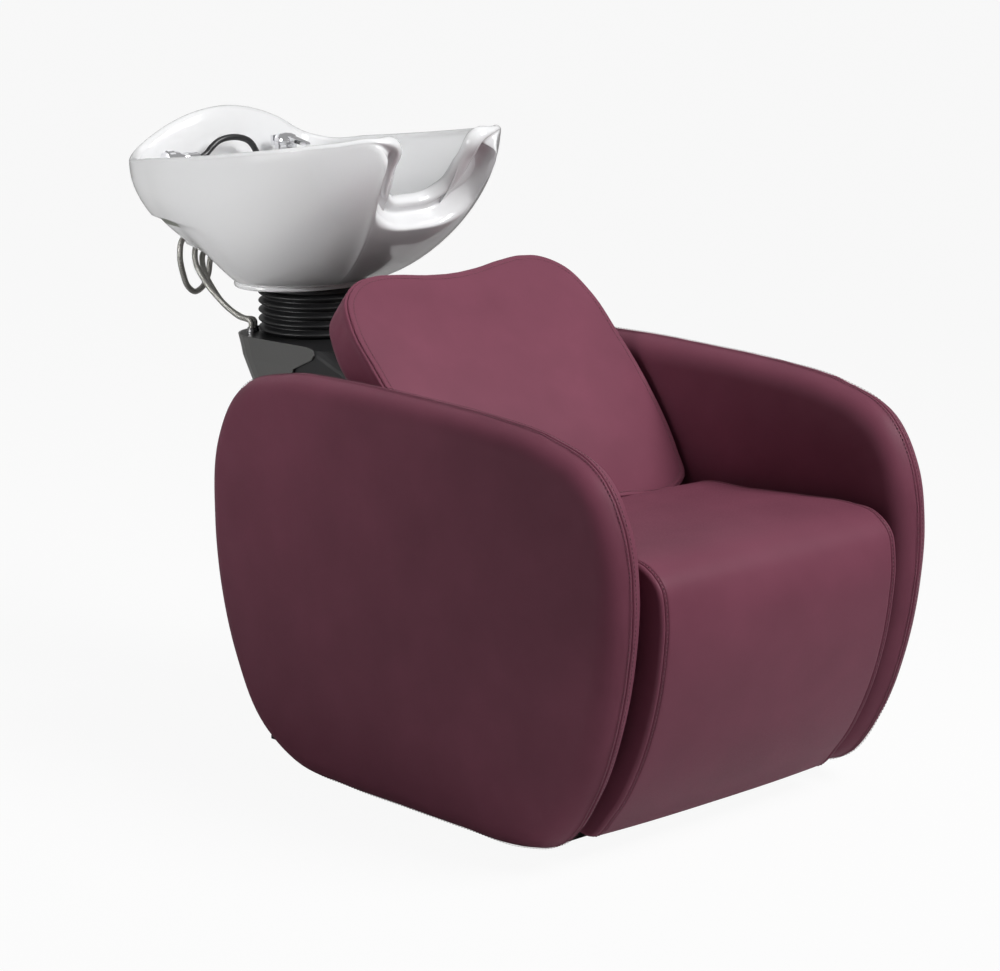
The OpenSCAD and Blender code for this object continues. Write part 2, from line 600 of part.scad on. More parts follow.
module shower_cradle() {
    color(bright) difference() {
        translate([-102, shower_y, shelf_z]) union() {
            cylinder(h = 4, r = 14);
            cylinder(h = 22, r1 = 9, r2 = 6);
            translate([-4, -10, 20]) cube([8, 20, 12]);
        }
        translate([0, shower_y, shower_z]) rod_x(11.2, -120, -80);
    }
}
module hose_elbow() {
    color(bright) translate([elbow_at.x, elbow_at.y, 0]) {
        translate([0, 0, shelf_z]) cylinder(h = 16, r1 = 13, r2 = 9);
        translate([0, 0, ledge_z - 20]) cylinder(h = shelf_z + 1 - ledge_z + 20, r = shank_r);
    }
}
module elbow_nut() {
    color(bright) translate([elbow_at.x, elbow_at.y, ledge_z - 8]) difference() {
        cylinder(h = 8, r = 15, $fn = 6);
        translate([0, 0, -1]) cylinder(h = 10, r = shank_r);
    }
}
// Hose routes, end to end
shower_route = [[-84, 600, 922], [-78, 600, 922], [-68, 600, 926], [-56, 600, 936], [-40, 600, 946],
    [-18, 600, 950], [6, 600, 948], [26, 600, 940], [38, 600, 926], [44, 600, 912], [44, 600, 901]];
loop_route = [[44, 600, 812], [44, 600, 806], [40, 602, 798], [26, 606, 794], [-20, 608, 790],
    [-50, 606, 776], [-62, 602, 745], [-70, 600, 715], [-82, 600, 698], [-98, 600, 692],
    [-112, 600, 702], [-122, 600, 725], [-128, 600, 760], [-122, 602, 782], [-100, 607, 790],
    [-20, 612, 776], [60, 606, 776], [93, 597, 783], [97, 595, 791], [97, 595, 798]];
hot_route = [[91, 584, 798], [91, 584, 792], [87, 583, 784], [70, 582, 778], [0, 592, 772],
    [-70, 596, 780], [-98, 592, 773], [-112, 578, 748], [-112, 555, 720], [-104, 525, 690],
    [-94, 485, 664], [-90, 455, 655], [-90, 455, 648]];
cold_route = [[103, 584, 798], [103, 584, 791], [100, 580, 776], [84, 577, 764], [10, 586, 758],
    [-60, 592, 766], [-88, 588, 758], [-98, 574, 734], [-98, 552, 706], [-90, 525, 676],
    [-78, 492, 658], [-74, 467, 655], [-74, 467, 648]];
module shower_hose() { color(plastic_black) tube(shower_route, 5.5, 10); }
module loop_hose() { color("#8f8a82") tube(loop_route, 5, 8); }
module hot_hose() { color("#8f8a82") tube(hot_route, 5, 8); }
module cold_hose() { color("#8f8a82") tube(cold_route, 5, 8); }
// Union under the tap that the three hoses screw into
module hose_union() {
    color(bright) translate([tap_at.x, tap_at.y, 798]) cylinder(h = 14, r = 16);
}
module hose_ferrules() {
    color(bright) for (p = supply_at) translate([p.x, p.y, top_z - 5]) {
        cylinder(h = 13, r = 7);
        translate([0, 0, 5]) cylinder(h = 3, r = 8);
    }
}
service_z = 58;
inlet_x = 45;
module service_plate() {
    color(steel) difference() {
        translate([-60, 146, deck_z]) cube([120, 4, 84]);
        translate([0, 0, service_z]) rod_y(outlet_r + 0.5, 140, 160);
        for (x = [-1, 1] * inlet_x) translate([x, 0, service_z]) rod_y(inlet_r, 140, 160);
    }
}
module inlet_tails() {
    color(bright) for (x = [-1, 1] * inlet_x) translate([x, 0, service_z]) rod_y(inlet_r, 152, 202);
}
hot_pipe = [[-90, 455, 635], [-90, 455, 629], [-84, 440, 600], [-78, 422, 560], [-66, 375, 500],
    [-56, 285, 400], [-48, 225, 300], [-45, 168, 200], [-45, 138, 110], [-45, 128, 75], [-45, 134, 58],
    [-45, 152, 58]];
cold_pipe = [[-74, 467, 635], [-74, 467, 629], [-60, 452, 600], [-10, 430, 560], [40, 375, 500],
    [45, 285, 400], [45, 225, 300], [45, 168, 200], [45, 138, 110], [45, 128, 75], [45, 134, 58],
    [45, 152, 58]];
module inlet_pipes() { color("#8f8a82") for (r = [hot_pipe, cold_pipe]) tube(r, 5, 8); }

floor_plate();
uprights();
side_rails();
cross_rails();
seat_board();
front_board();
seat_cushion();
front_panel();
arm_left();
arm_right();
arm_brackets();
arm_screws();
backrest_board();
backrest_pad();
backrest_struts();
column_cheeks();
column_spacers();
column_head();
column_cover();
column_shroud();
hinge_pins();
hinge_bushes();
friction_washers();
tilt_yoke();
tilt_plate();
basin_gasket();
bellows();
basin();
waste_flange();
waste_nut();
waste_tail();
waste_boot();
waste_hose();
waste_outlet();
strainer();
tap_body();
tap_cartridge();
tap_lever();
tap_nut();
shower_head();
shower_handle();
shower_cradle();
hose_elbow();
elbow_nut();
hose_union();
shower_hose();
loop_hose();
hot_hose();
cold_hose();
hose_ferrules();
service_plate();
inlet_tails();
inlet_pipes();
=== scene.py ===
"""Looks for the salon backwash unit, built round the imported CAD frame. Metres, floor at z = 0."""

import json
import math

import bmesh
import bpy
import numpy as np
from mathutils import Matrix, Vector
from mathutils.kdtree import KDTree


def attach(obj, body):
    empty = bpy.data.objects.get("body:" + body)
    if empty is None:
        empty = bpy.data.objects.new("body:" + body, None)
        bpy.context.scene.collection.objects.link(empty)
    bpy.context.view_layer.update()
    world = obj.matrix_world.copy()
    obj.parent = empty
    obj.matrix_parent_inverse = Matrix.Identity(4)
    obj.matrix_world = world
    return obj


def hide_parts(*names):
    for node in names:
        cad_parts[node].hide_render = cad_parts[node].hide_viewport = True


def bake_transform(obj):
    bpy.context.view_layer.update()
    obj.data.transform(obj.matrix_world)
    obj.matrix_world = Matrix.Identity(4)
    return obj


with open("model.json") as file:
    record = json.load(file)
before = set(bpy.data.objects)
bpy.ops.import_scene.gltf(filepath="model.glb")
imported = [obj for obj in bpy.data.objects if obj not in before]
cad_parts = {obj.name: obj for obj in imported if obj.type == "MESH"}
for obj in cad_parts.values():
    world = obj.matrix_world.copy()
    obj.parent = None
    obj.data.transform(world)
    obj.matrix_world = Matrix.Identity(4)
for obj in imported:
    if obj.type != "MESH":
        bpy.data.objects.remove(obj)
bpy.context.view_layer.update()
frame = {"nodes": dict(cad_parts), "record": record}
NODES = frame["nodes"]
CHAIR = "chair_frame"
BASIN = "basin_unit"


# ------------------------------------------------------------------ curves and meshes
def smooth_step(t):
    t = min(max(t, 0.0), 1.0)
    return t * t * (3 - 2 * t)


def mix(a, b, t):
    return a + (b - a) * t


def slope(a, b, c):
    d, e = np.linalg.norm(b - a), np.linalg.norm(c - b)
    return ((b - a) * e / d + (c - b) * d / e) / (d + e)


def cubic(p, q, m, n, t):
    d = np.linalg.norm(q - p)
    u, v = t * t, t * t * t
    return (2 * v - 3 * u + 1) * p + (v - 2 * u + t) * d * m + (3 * u - 2 * v) * q + (v - u) * d * n


def loop(points, steps):
    """Closed smooth curve through points."""
    p = [np.array(q, float) for q in points]
    n = len(p)
    out = []
    for i in range(n):
        a, b, c, d = p[i - 1], p[i], p[(i + 1) % n], p[(i + 2) % n]
        out += [cubic(b, c, slope(a, b, c), slope(b, c, d), s / steps) for s in range(steps)]
    return np.array(out)


def route(points, steps):
    """Open smooth curve through points."""
    p = [np.array(q, float) for q in points]
    n = len(p)
    out = []
    for i in range(n - 1):
        b, c = p[i], p[i + 1]
        chord = (c - b) / np.linalg.norm(c - b)
        m = chord if i == 0 else slope(p[i - 1], b, c)
        o = chord if i == n - 2 else slope(b, c, p[i + 2])
        out += [cubic(b, c, m, o, s / steps) for s in range(steps + (i == n - 2))]
    return np.array(out)


def normals_2d(points):
    """Outward normals of a flat closed curve that runs anticlockwise."""
    d = np.roll(points, -1, 0) - np.roll(points, 1, 0)
    d /= np.linalg.norm(d, axis=1)[:, None]
    return np.stack([d[:, 1], -d[:, 0]], 1)


def grow(points, by):
    return points + by * normals_2d(points)


def new_object(name, verts, faces, material, smooth=True):
    mesh = bpy.data.meshes.new(name)
    mesh.from_pydata([tuple(map(float, v)) for v in verts], [], faces)
    mesh.validate()
    obj = bpy.data.objects.new(name, mesh)
    bpy.context.scene.collection.objects.link(obj)
    bm = bmesh.new()
    bm.from_mesh(mesh)
    bmesh.ops.recalc_face_normals(bm, faces=bm.faces)
    bm.to_mesh(mesh)
    bm.free()
    for f in mesh.polygons:
        f.use_smooth = smooth
    mesh.materials.append(material)
    return obj


def skin(name, rings, material, cap_low=True, cap_high=True, closed=False):
    """Surface over rings of equal length."""
    rings = [np.asarray(r, float) for r in rings]
    n, k = len(rings[0]), len(rings)
    verts = np.concatenate(rings)
    faces = []
    for j in range(k if closed else k - 1):
        a, b = j * n, ((j + 1) % k) * n
        faces += [(a + i, a + (i + 1) % n, b + (i + 1) % n, b + i) for i in range(n)]
    if not closed:
        if cap_low:
            faces.append(tuple(range(n)))
        if cap_high:
            faces.append(tuple((k - 1) * n + i for i in range(n - 1, -1, -1)))
    return new_object(name, verts, faces, material)


def lathe(name, profile, centre, material, axis="Z", turns=72, closed=False):
    """Profile of (radius, height) turned about an axis through centre."""
    rings = []
    for r, h in profile:
        ring = []
        for k in range(turns):
            a = 2 * math.pi * k / turns
            p = {"Z": (r * math.cos(a), r * math.sin(a), h), "X": (h, r * math.cos(a), r * math.sin(a)),
                 "Y": (r * math.sin(a), h, r * math.cos(a))}[axis]
            ring.append([centre[0] + p[0], centre[1] + p[1], centre[2] + p[2]])
        rings.append(ring)
    return skin(name, rings, material, closed=closed)


def tube(name, path, radius, material, sides=16, caps=True):
    """Round tube along path, with the frame carried along it."""
    path = np.asarray(path, float)
    tangents = np.gradient(path, axis=0)
    tangents /= np.linalg.norm(tangents, axis=1)[:, None]
    side = np.cross(tangents[0], [0.0, 0.0, 1.0])
    if np.linalg.norm(side) < 1e-3:
        side = np.array([1.0, 0.0, 0.0])
    rings = []
    for p, t in zip(path, tangents):
        side = side - t * np.dot(side, t)
        side /= np.linalg.norm(side)
        up = np.cross(t, side)
        a = np.linspace(0, 2 * math.pi, sides, endpoint=False)
        rings.append(p + radius * (np.cos(a)[:, None] * side + np.sin(a)[:, None] * up))
    return skin(name, rings, material, cap_low=caps, cap_high=caps)


def add_modifier(obj, kind, **values):
    m = obj.modifiers.new(kind.lower(), kind)
    for k, v in values.items():
        setattr(m, k, v)
    return m


def apply_modifiers(obj):
    bpy.context.view_layer.update()
    evaluated = obj.evaluated_get(bpy.context.evaluated_depsgraph_get())
    mesh = bpy.data.meshes.new_from_object(evaluated)
    old = obj.data
    obj.modifiers.clear()
    obj.data = mesh
    bpy.data.meshes.remove(old)


# ------------------------------------------------------------------ materials
def material(name, color, roughness, metallic=0.0, **sockets):
    mat = bpy.data.materials.new(name)
    mat.use_nodes = True
    tree = mat.node_tree
    bsdf = tree.nodes["Principled BSDF"]
    bsdf.inputs["Base Color"].default_value = (*color, 1)
    bsdf.inputs["Roughness"].default_value = roughness
    bsdf.inputs["Metallic"].default_value = metallic
    for key, value in sockets.items():
        bsdf.inputs[key.replace("_", " ")].default_value = value
    return mat, tree, bsdf


def node(tree, kind, inputs=None, **values):
    n = tree.nodes.new(kind)
    for k, v in values.items():
        setattr(n, k, v)
    for k, v in (inputs or {}).items():
        n.inputs[k].default_value = v
    return n


def coords(tree, scale=(1, 1, 1)):
    tc = node(tree, "ShaderNodeTexCoord")
    mp = node(tree, "ShaderNodeMapping", {"Scale": scale})
    tree.links.new(tc.outputs["Object"], mp.inputs["Vector"])
    return mp.outputs["Vector"]


def ramp(tree, value, stops):
    r = node(tree, "ShaderNodeValToRGB")
    r.color_ramp.elements[0].position, r.color_ramp.elements[0].color = stops[0][0], (*stops[0][1], 1)
    r.color_ramp.elements[1].position, r.color_ramp.elements[1].color = stops[-1][0], (*stops[-1][1], 1)
    for pos, col in stops[1:-1]:
        r.color_ramp.elements.new(pos).color = (*col, 1)
    tree.links.new(value, r.inputs["Fac"])
    return r.outputs["Color"]


def bump(tree, bsdf, height, strength, distance, normal=None):
    b = node(tree, "ShaderNodeBump", {"Strength": strength, "Distance": distance})
    tree.links.new(height, b.inputs["Height"])
    if normal is not None:
        tree.links.new(normal, b.inputs["Normal"])
    tree.links.new(b.outputs["Normal"], bsdf.inputs["Normal"])
    return b.outputs["Normal"]


def shade(color, by):
    return tuple(min(c * by, 1.0) for c in color)


def speckled(name, color, roughness, spread=0.08, scale=260, strength=0.25, distance=0.0004, metallic=0.0, **sockets):
    """A plain material with fine grain in its surface and slight changes of tone."""
    mat, tree, bsdf = material(name, color, roughness, metallic, **sockets)
    v = coords(tree)
    fine = node(tree, "ShaderNodeTexNoise", {"Scale": scale, "Detail": 3.0})
    broad = node(tree, "ShaderNodeTexNoise", {"Scale": 7.0, "Detail": 2.0})
    for n in (fine, broad):
        tree.links.new(v, n.inputs["Vector"])
    tree.links.new(ramp(tree, broad.outputs["Fac"], [(0.3, shade(color, 1 - spread)), (0.7, shade(color, 1 + spread))]),
                   bsdf.inputs["Base Color"])
    lo, hi = max(roughness - 0.07, 0.02), min(roughness + 0.07, 1.0)
    tree.links.new(ramp(tree, broad.outputs["Fac"], [(0.3, (lo,) * 3), (0.7, (hi,) * 3)]), bsdf.inputs["Roughness"])
    bump(tree, bsdf, fine.outputs["Fac"], strength, distance)
    return mat


LEATHER = (0.176, 0.052, 0.082)


def leather_material():
    """Smooth burgundy upholstery leather: fine pebble grain, soft creases and slight mottling."""
    mat, tree, bsdf = material("burgundy_leather", LEATHER, 0.46)
    bsdf.inputs["Specular IOR Level"].default_value = 0.12
    bsdf.inputs["Sheen Weight"].default_value = 0.03
    bsdf.inputs["Sheen Roughness"].default_value = 0.45
    bsdf.inputs["Sheen Tint"].default_value = (0.9, 0.55, 0.65, 1)
    v = coords(tree)
    pebble = node(tree, "ShaderNodeTexVoronoi", {"Scale": 900.0}, feature="DISTANCE_TO_EDGE")
    crease = node(tree, "ShaderNodeTexNoise", {"Scale": 420.0, "Detail": 4.0})
    mottle = node(tree, "ShaderNodeTexNoise", {"Scale": 9.0, "Detail": 5.0})
    for n in (pebble, crease, mottle):
        tree.links.new(v, n.inputs["Vector"])
    tree.links.new(ramp(tree, mottle.outputs["Fac"], [(0.25, shade(LEATHER, 0.90)), (0.55, LEATHER),
                                                        (0.8, shade(LEATHER, 1.12))]), bsdf.inputs["Base Color"])
    shine = ramp(tree, crease.outputs["Fac"], [(0.3, (0.41,) * 3), (0.7, (0.53,) * 3)])
    tree.links.new(shine, bsdf.inputs["Roughness"])
    first = node(tree, "ShaderNodeBump", {"Strength": 0.25, "Distance": 0.0003})
    tree.links.new(pebble.outputs["Distance"], first.inputs["Height"])
    bump(tree, bsdf, crease.outputs["Fac"], 0.18, 0.0004, first.outputs["Normal"])
    return mat


def braid_material():
    """Stainless wire braid: two crossing sets of fine diagonal strands."""
    mat, tree, bsdf = material("wire_braid", (0.42, 0.41, 0.38), 0.36, 0.85)
    v = coords(tree)
    waves = []
    for turn in (0.8, -0.8):
        mp = node(tree, "ShaderNodeMapping", {"Rotation": (turn, turn, 0.6 * turn)})
        tree.links.new(v, mp.inputs["Vector"])
        w = node(tree, "ShaderNodeTexWave", {"Scale": 260.0, "Distortion": 0.6})
        tree.links.new(mp.outputs["Vector"], w.inputs["Vector"])
        waves.append(w.outputs["Fac"])
    mx = node(tree, "ShaderNodeMath", operation="MAXIMUM")
    tree.links.new(waves[0], mx.inputs[0])
    tree.links.new(waves[1], mx.inputs[1])
    tree.links.new(ramp(tree, mx.outputs[0], [(0.35, (0.16, 0.155, 0.14)), (0.9, (0.52, 0.51, 0.48))]),
                   bsdf.inputs["Base Color"])
    bump(tree, bsdf, mx.outputs[0], 0.5, 0.0006)
    return mat


def plywood_material():
    mat, tree, bsdf = material("plywood", (0.62, 0.46, 0.28), 0.6)
    v = coords(tree, (1.5, 14, 14))
    grain = node(tree, "ShaderNodeTexNoise", {"Scale": 9.0, "Detail": 8.0, "Distortion": 1.2})
    tree.links.new(v, grain.inputs["Vector"])
    tree.links.new(ramp(tree, grain.outputs["Fac"], [(0.3, (0.40, 0.26, 0.13)), (0.7, (0.68, 0.51, 0.31))]),
                   bsdf.inputs["Base Color"])
    bump(tree, bsdf, grain.outputs["Fac"], 0.2, 0.0006)
    return mat


def ceramic_material():
    """White glazed ceramic, with the faintest waviness under a clear glaze."""
    mat, tree, bsdf = material("white_glaze", (0.82, 0.82, 0.83), 0.16)
    bsdf.inputs["Coat Weight"].default_value = 0.6
    bsdf.inputs["Coat Roughness"].default_value = 0.03
    v = coords(tree)
    wave = node(tree, "ShaderNodeTexNoise", {"Scale": 14.0, "Detail": 2.0})
    tone = node(tree, "ShaderNodeTexNoise", {"Scale": 3.0, "Detail": 2.0})
    tree.links.new(v, wave.inputs["Vector"])
    tree.links.new(v, tone.inputs["Vector"])
    tree.links.new(ramp(tree, tone.outputs["Fac"], [(0.3, (0.80, 0.805, 0.815)), (0.7, (0.83, 0.83, 0.835))]),
                   bsdf.inputs["Base Color"])
    bump(tree, bsdf, wave.outputs["Fac"], 0.06, 0.002)
    return mat


M = {
    "leather": leather_material(),
    "ceramic": ceramic_material(),
    "braid": braid_material(),
    "plywood": plywood_material(),
    # raw_clay is not clay: a dark grey-green painted shade standing in for the shaded hollow under the back of the tap
    # shelf
    "raw_clay": speckled("painted_cavity_shade", (0.25, 0.26, 0.23), 0.75, scale=300, strength=0.4),
    "thread": speckled("seam_thread", (0.115, 0.040, 0.056), 0.6, scale=700),
    "frame_steel": speckled("black_powder_coat", (0.018, 0.018, 0.019), 0.5, scale=900, strength=0.4),
    "bright_steel": speckled("plain_steel", (0.55, 0.55, 0.56), 0.32, metallic=1.0, scale=500),
    "bronze": speckled("bush_bronze", (0.50, 0.36, 0.16), 0.4, metallic=1.0, scale=500),
    "black_plastic": speckled("black_moulding", (0.012, 0.012, 0.013), 0.42, scale=700, strength=0.3),
    "grey_plastic": speckled("grey_moulding", (0.105, 0.105, 0.102), 0.36, spread=0.05, scale=650, strength=0.22),
    "rubber": speckled("black_rubber", (0.011, 0.011, 0.012), 0.48, scale=500, strength=0.3),
    "hose_rubber": speckled("shower_hose_black", (0.012, 0.012, 0.013), 0.32, scale=600),
    "white_plastic": speckled("white_fitting", (0.70, 0.70, 0.68), 0.4, scale=400),
    "grey_hose": speckled("grey_waste_pipe", (0.22, 0.22, 0.22), 0.5, scale=400),
    "chrome": speckled("chrome", (0.82, 0.82, 0.84), 0.07, spread=0.03, scale=40, strength=0.03, metallic=1.0),
}
SLOT_LOOK = {s: s for s in M}
for part in frame["record"]["subparts"]:
    obj = NODES[part["node"]]
    look = M[SLOT_LOOK[part["material_slot"]]]
    obj.data.materials.clear()
    obj.data.materials.append(look)

# ------------------------------------------------------------------ camera
CAMERA_AT = Vector((-3.342, -3.691, 1.604))
CAMERA_TURN, CAMERA_DIP = math.radians(-42.64), math.radians(13.13)
cam_data = bpy.data.cameras.new("camera")
cam_data.sensor_width = 36.0
cam_data.lens = 113.8
cam_data.shift_x, cam_data.shift_y = 0.0017, -0.0027
cam_data.clip_end = 200
camera = bpy.data.objects.new("camera", cam_data)
camera.location = CAMERA_AT
camera.rotation_euler = (math.pi / 2 - CAMERA_DIP, 0, CAMERA_TURN)
bpy.context.scene.collection.objects.link(camera)
bpy.context.scene.camera = camera

# ------------------------------------------------------------------ hoses
SHOWER = [(-84, 600, 922), (-78, 600, 922), (-68, 600, 926), (-56, 600, 936), (-40, 600, 946), (-18, 600, 950),
          (6, 600, 948), (26, 600, 940), (38, 600, 926), (44, 600, 912), (44, 600, 901)]
LOOP = [(44, 600, 812), (44, 600, 806), (40, 602, 798), (26, 606, 794), (-20, 608, 790), (-50, 606, 776),
        (-62, 602, 745), (-70, 600, 715), (-82, 600, 698), (-98, 600, 692), (-112, 600, 702), (-122, 600, 725),
        (-128, 600, 760), (-122, 602, 782), (-100, 607, 790), (-20, 612, 776), (60, 606, 776), (93, 597, 783),
        (97, 595, 791), (97, 595, 798)]
HOT = [(91, 584, 798), (91, 584, 792), (87, 583, 784), (70, 582, 778), (0, 592, 772), (-70, 596, 780),
       (-98, 592, 773), (-112, 578, 748), (-112, 555, 720), (-104, 525, 690), (-94, 485, 664), (-90, 455, 655),
       (-90, 455, 648)]
COLD = [(103, 584, 798), (103, 584, 791), (100, 580, 776), (84, 577, 764), (10, 586, 758), (-60, 592, 766),
        (-88, 588, 758), (-98, 574, 734), (-98, 552, 706), (-90, 525, 676), (-78, 492, 658), (-74, 467, 655),
        (-74, 467, 648)]


def hose(name, points, radius, look, steps=5):
    path = route([np.array(p) / 1000 for p in points], steps)
    obj = tube(name, path, radius, look, sides=20)
    length = float(np.linalg.norm(np.diff(path, axis=0), axis=1).sum())
    return obj, path, length


def free_hose(name, points, radius, look, body, cad):
    obj, path, length = hose(name, points, radius, look)
    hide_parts(cad)
    if isinstance(body, str):
        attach(obj, body)
    else:
        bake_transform(obj)
    return obj


free_hose("hand_shower_hose", SHOWER, 0.0055, M["hose_rubber"],
          (BASIN, "hand_shower", (0.044, 0.6, 0.901), (-0.084, 0.6, 0.922)), "shower_hose")
free_hose("mixer_loop_hose", LOOP, 0.005, M["braid"], BASIN, "loop_hose")
for hose_name, points, cad in (("supply_hose_hot", HOT, "hot_hose"), ("supply_hose_cold", COLD, "cold_hose")):
    free_hose(hose_name, points, 0.005, M["braid"],
              (CHAIR, BASIN, (-0.09, 0.46, 0.66), (-0.1, 0.59, 0.775)), cad)

# ------------------------------------------------------------------ upholstery
def stitch_row(name, path, outward, body, closed=True, pitch=0.0066, length=0.0046, radius=0.00048):
    """Single stitches of thread along a path, sunk a little into the cloth on their outward side."""
    path, outward = np.asarray(path, float), np.asarray(outward, float)
    if closed:
        path, outward = np.vstack([path, path[:1]]), np.vstack([outward, outward[:1]])
    run = np.concatenate([[0], np.cumsum(np.linalg.norm(np.diff(path, axis=0), axis=1))])
    verts, faces = [], []
    turn = np.linspace(0, 2 * math.pi, 5, endpoint=False)

    def at(d, table):
        return np.array([np.interp(d, run, table[:, k]) for k in range(3)])

    for k in range(int(run[-1] / pitch)):
        d = (k + 0.5) * pitch
        a, b, up = at(d - length / 2, path), at(d + length / 2, path), at(d, outward)
        along = (b - a) / np.linalg.norm(b - a)
        up = up - along * np.dot(up, along)
        up /= np.linalg.norm(up)
        side = np.cross(along, up)
        first = len(verts)
        for t, size in ((0, 0.35), (0.22, 1), (0.78, 1), (1, 0.35)):
            centre = a + (b - a) * t + up * radius * (0.7 if size == 1 else -0.2)
            verts += [centre + radius * size * (math.cos(w) * side + math.sin(w) * up) for w in turn]
        for j in range(3):
            low, high = first + 5 * j, first + 5 * (j + 1)
            faces += [(low + i, low + (i + 1) % 5, high + (i + 1) % 5, high + i) for i in range(5)]
        faces += [tuple(first + i for i in range(4, -1, -1)), tuple(first + 15 + i for i in range(5))]
    row = new_object(name, verts, faces, M["thread"])
    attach(row, body)
    return row


def pressed(obj, voxel, cap, held):
    """Blow a cushion up with cloth pressure, held along its seams, and carry the movement onto its own mesh."""
    scene = bpy.context.scene
    proxy = obj.copy()
    proxy.data = obj.data.copy()
    scene.collection.objects.link(proxy)
    add_modifier(proxy, "REMESH", mode="VOXEL", voxel_size=voxel)
    apply_modifiers(proxy)
    rest = np.array([v.co[:] for v in proxy.data.vertices])
    proxy.vertex_groups.new(name="held").add([int(i) for i in np.nonzero(held(rest))[0]], 1.0, "REPLACE")
    cloth = proxy.modifiers.new("press", "CLOTH")
    cloth.settings.quality = 4
    cloth.settings.use_pressure = True
    cloth.settings.uniform_pressure_force = 4.0
    cloth.settings.effector_weights.gravity = 0.0
    cloth.settings.vertex_group_mass = "held"
    cloth.point_cache.frame_start, cloth.point_cache.frame_end = 1, 20
    for f in range(1, 21):
        scene.frame_set(f)
    pushed = proxy.evaluated_get(bpy.context.evaluated_depsgraph_get()).to_mesh()
    moved = np.array([v.co[:] for v in pushed.vertices]) - rest
    size = np.maximum(np.linalg.norm(moved, axis=1), 1e-9)
    moved *= (cap * np.tanh(size / cap) / size)[:, None]
    tree = KDTree(len(rest))
    for i, p in enumerate(rest):
        tree.insert(p, i)
    tree.balance()
    for v in obj.data.vertices:
        near = tree.find_n(v.co, 6)
        weight = np.array([1 / (d + 0.001) for _, _, d in near])
        shift = (moved[[i for _, i, _ in near]] * weight[:, None]).sum(0) / weight.sum()
        v.co += Vector(shift)
    scene.frame_set(1)
    bpy.data.objects.remove(proxy)


def upholster(obj, cad):
    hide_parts(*cad)
    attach(obj, CHAIR)


def groove(x, wide=0.0011, deep=0.0020, swell=0.0008):
    """Dip of a seam at distance x from its line, with the cloth swelling beside it."""
    return deep * math.exp(-(x / wide) ** 2) - swell * math.exp(-((abs(x) - 3.4 * wide) / (1.8 * wide)) ** 2)


ARM_T, ARM_X = 0.080, 0.310
ARM_LINE = [(168, 586), (208, 520), (219, 400), (206, 290), (173, 190), (118, 102), (44, 60), (-60, 52),
            (-200, 52), (-340, 53), (-450, 56), (-520, 76), (-572, 145), (-612, 245), (-634, 350), (-639, 440),
            (-625, 520), (-588, 578), (-505, 607), (-380, 619), (-220, 623), (-60, 623), (80, 613)]
ARM_ROUND = ARM_T / 2 - 0.0015
ARM_START = 0.0016
arm_line = grow(loop([np.array(p) / 1000 for p in reversed(ARM_LINE)], 8), ARM_T / 2)
arm_out = normals_2d(arm_line)
arm_across = sorted({round(ARM_ROUND * math.sin(math.pi * k / 36), 5) for k in range(-18, 19)}
                    | {x / 10000 for x in (-70, -55, -42, -32, -24, -16, -10, -5, 0, 5, 10, 16, 24, 32, 42, 55, 70)})


def arm_inset(x):
    return ARM_ROUND - math.sqrt(max(ARM_ROUND ** 2 - x * x, 0)) + groove(x) + ARM_START


def arm_rings(middle):
    """Rings across the arm: swelling flat sides, round crest and the seam along its middle."""
    centre = arm_line.mean(0)
    rim_flat = grow(arm_line, -ARM_ROUND - ARM_START)
    flats = [(s, ARM_T / 2 - ARM_START + 0.0012 * (1 - s * s)) for s in (0.15, 0.3, 0.45, 0.6, 0.72, 0.82, 0.9, 0.96)]
    rings = [np.column_stack([np.full(len(arm_line), middle - w), centre + (rim_flat - centre) * s]) for s, w in flats]
    for x in arm_across:
        wide = x * (ARM_T / 2 - ARM_START) / ARM_ROUND
        rings.append(np.column_stack([np.full(len(arm_line), middle + wide), arm_line - arm_inset(x) * arm_out]))
    return rings + [np.column_stack([np.full(len(arm_line), middle + w), centre + (rim_flat - centre) * s])
                    for s, w in reversed(flats)]


for side, cad in ((-1, "arm_left"), (1, "arm_right")):
    where = side * ARM_X
    arm = skin("arm" + cad[3:] + "_cushion", arm_rings(where), M["leather"])
    pressed(arm, 0.009, 0.0022, lambda p, at=where: np.abs(p[:, 0] - at) < 0.006)
    upholster(arm, [cad])
    for k, x in enumerate((-0.0052, 0.0052)):
        row = np.column_stack([np.full(len(arm_line), where + x), arm_line - arm_inset(x) * arm_out])
        stitch_row("arm_stitches_%s_%d" % ("left" if side < 0 else "right", k), row,
                   np.column_stack([np.zeros(len(arm_line)), arm_out]), CHAIR)

SEAT_LINE = [(-532, 36), (-582, 82), (-630, 162), (-662, 250), (-679, 340), (-682, 400), (-672, 445),
             (-640, 470), (-590, 476), (-500, 471), (-380, 462), (-268, 452), (-246, 440), (-243, 400), (-256, 364),
             (-300, 358), (-420, 358), (-540, 358), (-590, 351), (-608, 320), (-602, 250), (-574, 160),
             (-532, 90), (-508, 62), (-508, 42)]
seat_line = loop([np.array(p) / 1000 for p in reversed(SEAT_LINE)], 7)
seat_out = normals_2d(seat_line)
SEAT_W, SEAT_START, WELT = 0.510, 0.0015, 0.0105
# The edge of the seat in section: (in from the side, down from the face), round edge and a welt between two seams
SEAT_EDGE = [(0.0, 7.5), (0.2, 5.6), (0.9, 3.8), (2.2, 2.1), (3.8, 1.0), (5.6, 0.45), (6.6, 0.7), (7.2, 1.7),
             (7.6, 2.1), (8.0, 1.5), (8.6, 0.3), (9.5, -0.3), (10.5, -0.45), (11.5, -0.3), (12.4, 0.3),
             (13.0, 1.4), (13.4, 1.9), (13.8, 1.4), (14.5, 0.4), (16, -0.1), (19, -0.3), (26, -0.5), (40, -1.0),
             (62, -1.6), (90, -2.3), (125, -2.9), (165, -3.3), (210, -3.5)]


def seat_ring(x, inset):
    return np.column_stack([np.full(len(seat_line), x), seat_line - (inset + SEAT_START) * seat_out])


